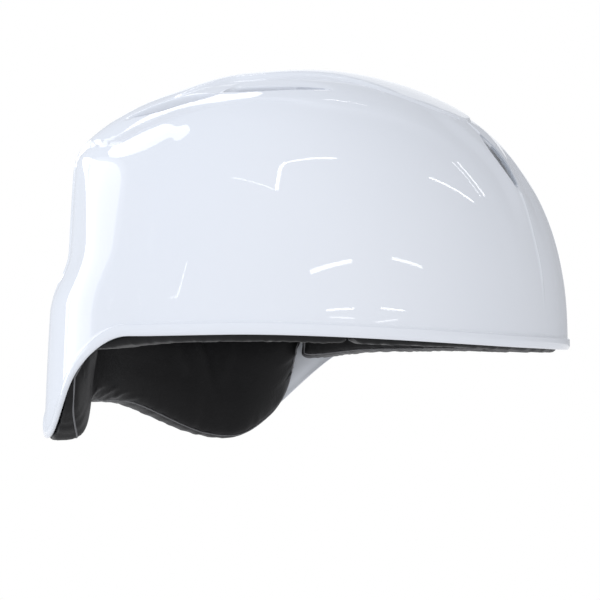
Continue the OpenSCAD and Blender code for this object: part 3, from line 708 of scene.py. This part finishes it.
def edge_shape(az0, az1, top, grooves, n, m=30):
    """Pad round the inside, which turns out under the foam to meet the shell."""
    length = math.radians(az1 - az0) * HALF_WIDTH

    def az_of(u):
        return mix(az0, az1, (1 + u) / 2)

    def low_of(az):
        q = off_back(az)
        hang = mix(3.5 * MM, 2 * MM, rise(q, 120, 160)) + 3 * MM * (1 - rise(q, 58, 82))
        return level_z(az) - hang

    def height(u, v):
        az = az_of(u)
        d = corner(u, length, 7 * MM)
        return mix(low_of(az) + 0.35 * d, top - d, (1 + v) / 2)

    def place(u, v, t):
        az = az_of(u)
        return at_depth(az, el_at_z(az, height(u, v)), t)

    def back(u, v):
        up = height(u, v) - level_z(az_of(u))
        return mix(WALL + 2 * MM, PAD_AT, rise(up, 4.5 * MM, 7.5 * MM))

    def front(u, v):
        sewn = sum(groove(u, g, 0.08, 0.25) for g in grooves)
        return PAD_AT + PAD * (puff(u, v) - sewn)

    return slab(place, (length, top + 5 * MM), back, front, 3.2 * MM, n, m)


def crown_reach(az, less):
    """Plan of the pieces under the crown, held clear of the vents."""
    power = np.where(cosd(az) > 0, 1.8, 2.5)
    front, back, side = BAND_TIP - 16 * MM, 84 * MM, BAND_HALF - 4.5 * MM
    return plan_r(az, front - less, back - less, side - less, power)


def sculpt(obj, uv, lift):
    """Move the points of a piece that have a place along their normals by lift(u, v) metres."""
    mesh = obj.data
    co = np.empty(len(mesh.vertices) * 3)
    mesh.vertices.foreach_get("co", co)
    normals = np.empty_like(co)
    mesh.vertices.foreach_get("normal", normals)
    co, normals, count = co.reshape(-1, 3), normals.reshape(-1, 3), len(uv)
    co[:count] += normals[:count] * lift(uv[:, 0], uv[:, 1])[:, None]
    mesh.vertices.foreach_set("co", co.ravel())
    mesh.update()


def ridge(u, v, a, b, width, height):
    """Soft fold along the line from a to b in the plane of u and v."""
    a, b = np.array(a), np.array(b)
    d = b - a
    s = np.clip(((u - a[0]) * d[0] + (v - a[1]) * d[1]) / (d @ d), -0.2, 1.2)
    far = np.hypot((u - a[0] - s * d[0]) * 2.4, v - a[1] - s * d[1])
    ends = rise(s, -0.2, 0.15) * (1 - rise(s, 0.8, 1.2))
    return height * np.exp(-((far / width) ** 2)) * ends


def wave(x, seed, knots=97):
    """Smooth repeatable noise over -1 to 1."""
    table = np.random.default_rng(seed).uniform(-1, 1, knots)
    return np.interp((x + 1) / 2 * (knots - 1), np.arange(knots), table)


def pucker(u, v, seed, size):
    """Small gathers along the sewn edges."""
    low, high = rise(-v, 0.55, 0.95), rise(v, 0.6, 0.95)
    ends = rise(np.abs(u), 0.86, 0.98)
    along_u = low * wave(u, seed) + 0.6 * high * wave(u, seed + 1)
    return size * (along_u + ends * wave(v, seed + 2, 17))


# Folds of the nape pad from (u, v) to (u, v), with width and height: the first on both
# sides, the next at its notch, the last on its two ends
SIDE_FOLDS = (((0.36, 0.95), (0.42, 0.1), 0.05, 0.7), ((0.47, 0.95), (0.575, -0.2), 0.05, 0.8),
              ((0.66, 0.9), (0.62, 0.0), 0.06, 0.4))
NOTCH_FOLDS = (((0.30, -1.0), (0.20, -0.62), 0.05, 0.8), ((0.22, -1.0), (0.10, -0.7), 0.05, -0.6),
               ((0.12, -1.0), (0.0, -0.66), 0.05, 0.7), ((0.02, -1.0), (-0.10, -0.75), 0.05, 0.5),
               ((0.38, -1.0), (0.30, -0.7), 0.05, 0.7), ((-0.1, -1.0), (-0.2, -0.8), 0.05, 0.4))
END_FOLDS = (((0, -0.55), (0.01, -0.5), 0.09, 0.9), ((0, -0.2), (0.01, -0.15), 0.07, 0.6))


def folds_of(table, u, v):
    """Sum of the folds of a table, whose heights are in millimetres."""
    return sum(ridge(u, v, a, b, width, height * MM) for a, b, width, height in table)


def nape_folds(u, v):
    """Folds of the nape pad: along its sewn lines, at the notch and on its end faces."""
    both = folds_of(SIDE_FOLDS, -u, v) + folds_of(SIDE_FOLDS, u, v)
    ends = rise(np.abs(u), 0.965, 0.99) * folds_of(END_FOLDS, 0 * u, v)
    return pucker(u, v, 3, 0.35 * MM) + both + folds_of(NOTCH_FOLDS, u, v) + ends


def gathers(seed):
    """Small gathers all round a pad, different for each seed."""
    return lambda u, v: pucker(u, v, seed, 0.3 * MM)


def make_cushions(mats):
    """The five pads in leather."""
    low, high = SIDE_AZ
    make_cushion("nape_pad", nape_shape(), mats, nape_folds)
    for node, az0, az1, top, grooves, n, seed in (
            ("front_pad", -FRONT_END, FRONT_END, 26 * MM, (-0.4, 0.4), 110, 11),
            ("side_pad_left", low, high, 40 * MM, (-0.2,), 90, 21),
            ("side_pad_right", -high, -low, 40 * MM, (0.2,), 90, 31)):
        make_cushion(node, edge_shape(az0, az1, top, grooves, n), mats, gathers(seed))
    make_crown_pad(mats)


def make_crown_pad(mats):
    """Round pad under the crown, crowned towards the middle."""
    def front(s):
        return PAD_AT + PAD * mix(0.4, 1, math.sqrt(1 - s**4))

    points, faces = disc(lambda az: crown_reach(az, 8 * MM), lambda s: PAD_AT, front,
                         1.8 * MM, 96, 16)
    obj = new_mesh(piece_name("crown_pad"), points, faces, 0)
    fix_normals(obj)
    declare(obj, "crown_pad", "pad_leather", mats[:1])


def liner(node, azs, low, high, depths, radius, mat, slot, n=40, m=16, corner_r=6 * MM):
    """Curved sheet or block between two azimuths, two elevations and two depths."""
    az0, az1 = azs
    length = math.radians(az1 - az0) * HALF_WIDTH

    def place(u, v, t):
        az = mix(az0, az1, (1 + u) / 2)
        d = arc_deg(corner(u, length, corner_r))
        el = mix(low(az) + d, high(az) - d, (1 + v) / 2)
        return at_depth(az, el, t)

    tall = math.radians(float(high(np.array(az0)) - low(np.array(az0)))) * HALF_WIDTH
    faces_at = [lambda u, v, t=t: t + 0 * u for t in depths]
    points, faces, _, _ = slab(place, (length, tall), *faces_at, radius, n, m)
    obj = new_mesh(piece_name(node), points, faces, 60)
    fix_normals(obj)
    return declare(obj, node, slot, [mat])


def crown_piece(node, reach, depths, radius, mat, slot, m=10):
    """Round sheet or block under the crown."""
    points, faces = disc(reach, *[lambda s, t=t: t for t in depths], radius, 72, m)
    obj = new_mesh(piece_name(node), points, faces, 60)
    fix_normals(obj)
    return declare(obj, node, slot, [mat])


def make_foam(mat):
    """Five pieces of beaded foam, bonded to the shell with air channels between them."""
    edge = np.degrees(CHANNEL / 2 / HALF_WIDTH)
    depths = (FOAM_OUT, FOAM_OUT + FOAM)
    front_top = NOSE_VENT["mid"] - np.degrees(28.5 * MM / FRONT_LEN)
    back_top = corner_el() - arc_deg(4 * MM)

    def low(az):
        return el_at_z(az, level_z(az) + 9 * MM)

    def side_top(az):
        return el_at_r(az, crease_r(az)) - arc_deg(CHANNEL)

    for node, az0, az1, bottom, top in (
            ("foam_front", -FRONT_END + edge, FRONT_END - edge,
             low, lambda az: front_top + 0 * az),
            ("foam_left", FRONT_END + edge, SIDE_END - edge, low, side_top),
            ("foam_right", edge - SIDE_END, -FRONT_END - edge, low, side_top),
            ("foam_back", SIDE_END + edge, 360 - SIDE_END - edge,
             lambda az: el_at_z(az, 13 * MM), lambda az: back_top + 0 * az)):
        liner(node, (az0, az1), bottom, top, depths, 2 * MM, mat, "foam")
    crown_piece("foam_crown", lambda az: crown_reach(az, 0), depths, 2 * MM, mat, "foam")


# Boards behind the pads: middle and half angle, low and high edge in millimetres, and how
# much shorter their patches are at the sides (degrees) and at the edges (millimetres)
SIDE_MID = sum(SIDE_AZ) / 2
BOARD_PLACES = {
    "front": (0, FRONT_END - 8, 8, 22, 16, 2),
    "left": (SIDE_MID, SIDE_AZ[1] - SIDE_MID - 7, 11, 35, 10, 4),
    "right": (-SIDE_MID, SIDE_AZ[1] - SIDE_MID - 7, 11, 35, 10, 4),
    "nape": (180, NAPE_HALF - 16, -17, 1, 12, 2),
}
SHEET_ROUND = 0.3 * MM


def make_sheets(board_mat, hook_mat, loop_mat):
    """Stiff boards behind the pads, and the hook and loop patches that hold them."""
    # Kind, whether it is a patch, depth under the crown and sides, depth at the nape, thickness
    kinds = (("board", 0, BOARD_AT, NAPE_AT - GAP - BOARD, BOARD, board_mat),
             ("hook", 1, HOOK_AT, WALL + GAP, PATCH, hook_mat),
             ("loop", 1, LOOP_AT, WALL + GAP + (PATCH + GAP), PATCH, loop_mat))
    for place, (mid, half, low, high, side, edge) in BOARD_PLACES.items():
        for kind, patch, depth, nape_depth, thick, mat in kinds:
            if patch:
                node = kind + "_" + place
            else:
                node = ("side_board_" + place) if place in ("left", "right") else place + "_board"
            depth = nape_depth if place == "nape" else depth
            h = half - patch * side
            z0, z1 = (low + patch * edge) * MM, (high - patch * edge) * MM
            liner(node, (mid - h, mid + h), lambda az, z=z0: el_at_z(az, z),
                  lambda az, z=z1: el_at_z(az, z), (depth, depth + thick), SHEET_ROUND, mat,
                  kind, 24, 6, 3 * MM)
    crown_piece("crown_board", lambda az: crown_reach(az, 16 * MM), (BOARD_AT, BOARD_AT + BOARD),
                SHEET_ROUND, board_mat, "board")
    for kind, depth, mat in (("hook", HOOK_AT, hook_mat), ("loop", LOOP_AT, loop_mat)):
        crown_piece(kind + "_crown", lambda az: 22 * MM + 0 * az, (depth, depth + PATCH),
                    SHEET_ROUND, mat, kind, 4)


def node_of(mat, kind, **values):
    """Shader node with some of its sockets set."""
    node = mat.node_tree.nodes.new(kind)
    for key, value in values.items():
        if key in node.inputs:
            node.inputs[key].default_value = value
        else:
            setattr(node, key, value)
    return node


def new_material(name, color, rough, **extra):
    """Principled material; returns it with its shader and its link function."""
    mat = bpy.data.materials.new(name)
    mat.use_nodes = True
    shader = mat.node_tree.nodes["Principled BSDF"]
    shader.inputs["Base Color"].default_value = (*color, 1)
    shader.inputs["Roughness"].default_value = rough
    for key, value in extra.items():
        shader.inputs[key.replace("_", " ")].default_value = value
    return mat, shader, mat.node_tree.links.new


def tint(mat, link, source, target, low, high):
    """Colour or value between two ends, driven by a texture's factor."""
    ramp = node_of(mat, "ShaderNodeValToRGB")
    ramp.color_ramp.elements[0].color = (*low, 1)
    ramp.color_ramp.elements[1].color = (*high, 1)
    link(source, ramp.inputs["Fac"])
    link(ramp.outputs["Color"], target)


def add_bump(mat, link, shader, layers):
    """Bump from several textures: (output, strength, height in metres)."""
    last = None
    for source, strength, height in layers:
        bump = node_of(mat, "ShaderNodeBump", Strength=strength, Distance=height)
        link(source, bump.inputs["Height"])
        if last:
            link(last.outputs["Normal"], bump.inputs["Normal"])
        last = bump
    link(last.outputs["Normal"], shader.inputs["Normal"])


def textures(mat, link, *kinds):
    """Textures in the object's own coordinates: (kind, scale, detail)."""
    place = node_of(mat, "ShaderNodeTexCoord")
    made = []
    for kind, scale, detail in kinds:
        tex = node_of(mat, "ShaderNodeTex" + kind, Scale=scale, Detail=detail)
        link(place.outputs["Object"], tex.inputs["Vector"])
        made.append(tex.outputs["Distance" if kind == "Voronoi" else "Fac"])
    return made


def shell_material():
    """White gloss plastic: faint tone changes and a clear hard finish."""
    mat, shader, link = new_material("gloss_shell", (0.80, 0.83, 0.885), 0.02, IOR=1.5)
    tone, peel = textures(mat, link, ("Noise", 14.0, 2.0), ("Noise", 90.0, 1.0))
    tint(mat, link, tone, shader.inputs["Base Color"], (0.79, 0.825, 0.885), (0.815, 0.845, 0.895))
    add_bump(mat, link, shader, ((peel, 0.1, 0.00003),))
    return mat


def vent_shade_material(name, color):
    """The same plastic on a vent's wall, painted greyer for the shade in the recess, and less
    glossy.
    """
    mat, shader, link = new_material(name, color, 0.3, IOR=1.5)
    tone, grit = textures(mat, link, ("Noise", 60.0, 3.0), ("Noise", 700.0, 2.0))
    tint(mat, link, tone, shader.inputs["Base Color"], [0.97 * c for c in color],
         [1.03 * c for c in color])
    add_bump(mat, link, shader, ((grit, 0.2, 0.0001),))
    return mat


def leather_material(name, low, high, rough):
    """Black leather with a fine grain and soft wrinkles."""
    mat, shader, link = new_material(name, low, rough, IOR=1.5, Specular_IOR_Level=0.2)
    grain, tone, wrinkle = textures(mat, link, ("Voronoi", 1100.0, 0.0), ("Noise", 40.0, 4.0),
                                    ("Noise", 120.0, 3.0))
    tint(mat, link, tone, shader.inputs["Base Color"], low, high)
    tint(mat, link, tone, shader.inputs["Roughness"], (rough - 0.07,) * 3, (rough + 0.1,) * 3)
    add_bump(mat, link, shader, ((grain, 0.35, 0.0002), (wrinkle, 0.35, 0.0006)))
    return mat


def foam_material():
    """Pale moulded foam, whose beads show at its surface."""
    mat, shader, link = new_material("bead_foam", (0.6, 0.6, 0.6), 0.8)
    beads, tone = textures(mat, link, ("Voronoi", 330.0, 0.0), ("Noise", 60.0, 3.0))
    tint(mat, link, beads, shader.inputs["Base Color"], (0.66, 0.66, 0.65), (0.5, 0.5, 0.49))
    tint(mat, link, tone, shader.inputs["Roughness"], (0.7,) * 3, (0.9,) * 3)
    add_bump(mat, link, shader, ((beads, 0.7, 0.0006),))
    return mat


def board_material():
    """Grey stiff sheet with a matt pressed face."""
    mat, shader, link = new_material("pressed_board", (0.3, 0.3, 0.31), 0.6)
    tone, grit = textures(mat, link, ("Noise", 70.0, 4.0), ("Noise", 900.0, 2.0))
    tint(mat, link, tone, shader.inputs["Base Color"], (0.25, 0.25, 0.26), (0.36, 0.36, 0.37))
    add_bump(mat, link, shader, ((grit, 0.3, 0.0002),))
    return mat


def tape_material(name, low, high, scale, height):
    """Fastener tape: stiff hooks or brushed loops, by the scale of its pile."""
    mat, shader, link = new_material(name, low, 0.85, Sheen_Weight=0.4)
    pile, tone = textures(mat, link, ("Voronoi", scale, 0.0), ("Noise", 300.0, 3.0))
    tint(mat, link, tone, shader.inputs["Base Color"], low, high)
    add_bump(mat, link, shader, ((pile, 0.9, height),))
    return mat


def add_area(name, place, size, radiance):
    """Area lamp of a given radiance, turned towards the helmet."""
    data = bpy.data.lights.new(name, "AREA")
    data.shape = "RECTANGLE"
    data.size, data.size_y = size
    data.energy = radiance * math.pi * size[0] * size[1]
    lamp = bpy.data.objects.new(name, data)
    bpy.context.scene.collection.objects.link(lamp)
    lamp.location = place
    lamp.rotation_mode = "QUATERNION"
    lamp.rotation_quaternion = (-Vector(place)).to_track_quat("-Z", "Y")
    return lamp


# Thin tube lamps of the studio: ends in metres, width and radiance
TUBES = {
    "tube_a": ((-0.74, -1.35, 1.43), (-0.08, -1.60, 1.37), 0.016, 5),
    "tube_b": ((-0.08, -1.60, 1.37), (-0.11, -1.26, 1.69), 0.055, 9),
    "tube_bend": ((-0.11, -1.26, 1.69), (-0.06, -1.18, 1.75), 0.050, 9),
    "tube_c": ((-0.06, -1.18, 1.75), (0.60, -0.76, 1.88), 0.034, 9),
    "tube_d": ((-0.30, 0.71, 1.91), (0.07, 0.85, 1.88), 0.030, 6),
    "tube_e": ((1.34, 0.38, 1.56), (1.42, 0.96, 1.18), 0.035, 9),
    "tube_f": ((0.93, 1.08, 1.51), (1.26, 1.16, 1.18), 0.016, 6),
    "tube_g": ((0.90, 1.15, 1.47), (1.22, 1.22, 1.16), 0.014, 5),
    "tube_h": ((0.56, -1.98, 0.48), (1.19, -1.63, 0.63), 0.045, 7),
    "tube_i": ((1.68, -1.10, 0.69), (1.93, -0.62, 0.61), 0.035, 7),
    "tube_j": ((0.82, -1.94, 0.19), (1.24, -1.71, 0.21), 0.014, 7),
    "tube_k": ((1.59, -1.38, 0.22), (1.84, -1.02, 0.21), 0.014, 7),
    "tube_l": ((0.88, -1.92, 0.15), (1.25, -1.70, 0.15), 0.008, 5),
    "tube_m": ((1.52, -1.47, 0.13), (1.78, -1.14, 0.15), 0.008, 5),
    "tube_n": ((-1.11, -1.72, 0.48), (-1.16, -1.74, 0.23), 0.008, 5),
}


def add_tube(name, a, b, width, radiance):
    """Thin tube lamp between two places, facing the helmet."""
    a, b = Vector(a), Vector(b)
    mid = (a + b) / 2
    lamp = add_area(name, mid, ((b - a).length, width), radiance)
    z = mid.normalized()
    y = z.cross((b - a).normalized()).normalized()
    lamp.rotation_quaternion = Matrix((y.cross(z), y, z)).transposed().to_quaternion()


# Levels of the room behind the helmet, towards DIM, and overhead, and its two tones
BACK_LEVEL, DIM_LEVEL, ROOF_LEVEL = 1.03, 0.36, 0.95
DIM = (0.64, 0.77, 0.0)
COOL, PLAIN = (0.955, 1.0, 1.08), (1.0, 1.0, 1.02)


def make_world():
    """Pale room: bright and bluish behind the helmet, greyer towards its far front."""
    world = bpy.data.worlds.new("room")
    world.use_nodes = True
    bpy.context.scene.world = world
    nodes, link = world.node_tree.nodes, world.node_tree.links.new
    place = nodes.new("ShaderNodeTexCoord")

    def graded(axis, lo, hi, first, last):
        part = nodes.new("ShaderNodeVectorMath")
        part.operation = "DOT_PRODUCT"
        part.inputs[1].default_value = axis
        link(place.outputs["Generated"], part.inputs[0])
        node = nodes.new("ShaderNodeMapRange")
        ends = {"From Min": lo, "From Max": hi, "To Min": first, "To Max": last}
        for key, value in ends.items():
            node.inputs[key].default_value = value
        link(part.outputs["Value"], node.inputs["Value"])
        return node.outputs["Result"]

    level = nodes.new("ShaderNodeMath")
    level.operation = "MULTIPLY"
    link(graded(DIM, -0.3, 0.8, BACK_LEVEL, DIM_LEVEL), level.inputs[0])
    link(graded((0, 0, 1), 0.2, 0.8, 1.0, ROOF_LEVEL), level.inputs[1])
    tone = nodes.new("ShaderNodeMix")
    tone.data_type = "RGBA"
    link(graded((1, 0, 0), -0.9, 0.7, 0.0, 1.0), tone.inputs["Factor"])
    tone.inputs["A"].default_value = (*COOL, 1)
    tone.inputs["B"].default_value = (*PLAIN, 1)
    room = nodes["Background"]
    link(tone.outputs["Result"], room.inputs["Color"])
    link(level.outputs[0], room.inputs["Strength"])
    white = nodes.new("ShaderNodeBackground")
    white.inputs["Color"].default_value = (1, 1, 1, 1)
    path = nodes.new("ShaderNodeLightPath")
    both = nodes.new("ShaderNodeMixShader")
    link(path.outputs["Is Camera Ray"], both.inputs[0])
    link(room.outputs[0], both.inputs[1])
    link(white.outputs[0], both.inputs[2])
    link(both.outputs[0], nodes["World Output"].inputs["Surface"])


# Soft panels that only show in gloss: middle, roll, size, radiance and shape
PANELS = {
    "panel_back": ((-2.1, -0.52, 0.30), 0, (2.5, 2.9), 1.7, "ELLIPSE"),
    "panel_edge": ((-2.1, -0.55, 0.30), 0, (2.72, 3.04), 0.5, "ELLIPSE"),
    "panel_soft": ((-2.1, -0.60, 0.30), 0, (3.0, 3.16), 0.3, "ELLIPSE"),
    "panel_far": ((-2.1, 0.62, 0.69), -33, (1.2, 0.8), 2.0, "RECTANGLE"),
    "panel_leaf": ((-2.1, 0.15, 2.29), -51, (1.55, 1.0), 2.0, "ELLIPSE"),
    "panel_crest": ((-2.1, 1.35, 2.85), 54.6, (2.4, 0.9), 1.8, "ELLIPSE"),
}
SIDE_PANEL = ((-1.41, 2.76, 1.13), (1.3, 1.9), 0.42)


def make_lights():
    """Soft panels behind the helmet and past its far side, and thin tubes overhead."""
    make_world()
    for name, (middle, roll, size, radiance, shape) in PANELS.items():
        lamp = add_area(name, middle, size, radiance)
        lamp.data.shape = shape
        axes = (0, -cosd(roll), -sind(roll)), (0, -sind(roll), cosd(roll)), (-1, 0, 0)
        lamp.rotation_quaternion = Matrix(axes).transposed().to_quaternion()
        lamp.visible_diffuse = False
    add_area("panel_side", *SIDE_PANEL).visible_diffuse = False
    for name, tube in TUBES.items():
        add_tube(name, *tube)


def make_floor():
    """Pale floor that shows white to the camera, like the photograph's ground."""
    z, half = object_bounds()[0].z - MM, 6.0
    corners = [(x * half, y * half, z) for x, y in ((-1, -1), (1, -1), (1, 1), (-1, 1))]
    obj = new_mesh("floor", corners, [(0, 1, 2, 3)], 0)
    mat, shader, link = new_material("light_table", (0.3, 0.3, 0.3), 0.9)
    shader.inputs["Emission Color"].default_value = (*PLAIN, 1)
    shader.inputs["Emission Strength"].default_value = 0.62
    path = node_of(mat, "ShaderNodeLightPath")
    glow = node_of(mat, "ShaderNodeEmission", Strength=1.0)
    both = node_of(mat, "ShaderNodeMixShader")
    link(path.outputs["Is Camera Ray"], both.inputs[0])
    link(shader.outputs[0], both.inputs[1])
    link(glow.outputs[0], both.inputs[2])
    link(both.outputs[0], mat.node_tree.nodes["Material Output"].inputs["Surface"])
    obj.data.materials.append(mat)


# The vent materials' greys are painted shade for the recesses, darker in the front vent
make_shell([shell_material(), vent_shade_material("vent_wall_painted_shade", (0.76, 0.79, 0.845)),
            vent_shade_material("front_vent_wall_painted_shade", (0.5, 0.54, 0.6))])
make_foam(foam_material())
pad_leather = leather_material("pad_leather", (0.006, 0.006, 0.0065), (0.011, 0.011, 0.012), 0.42)
welt = leather_material("welt", (0.16, 0.16, 0.17), (0.24, 0.24, 0.25), 0.5)
make_cushions([pad_leather, welt])
make_sheets(board_material(),
            tape_material("hook_tape", (0.01, 0.01, 0.01), (0.03, 0.03, 0.03), 700.0, 0.0008),
            tape_material("loop_tape", (0.05, 0.05, 0.05), (0.1, 0.1, 0.1), 1500.0, 0.0005))
make_floor()
make_lights()
bpy.context.scene.view_settings.view_transform = "Standard"
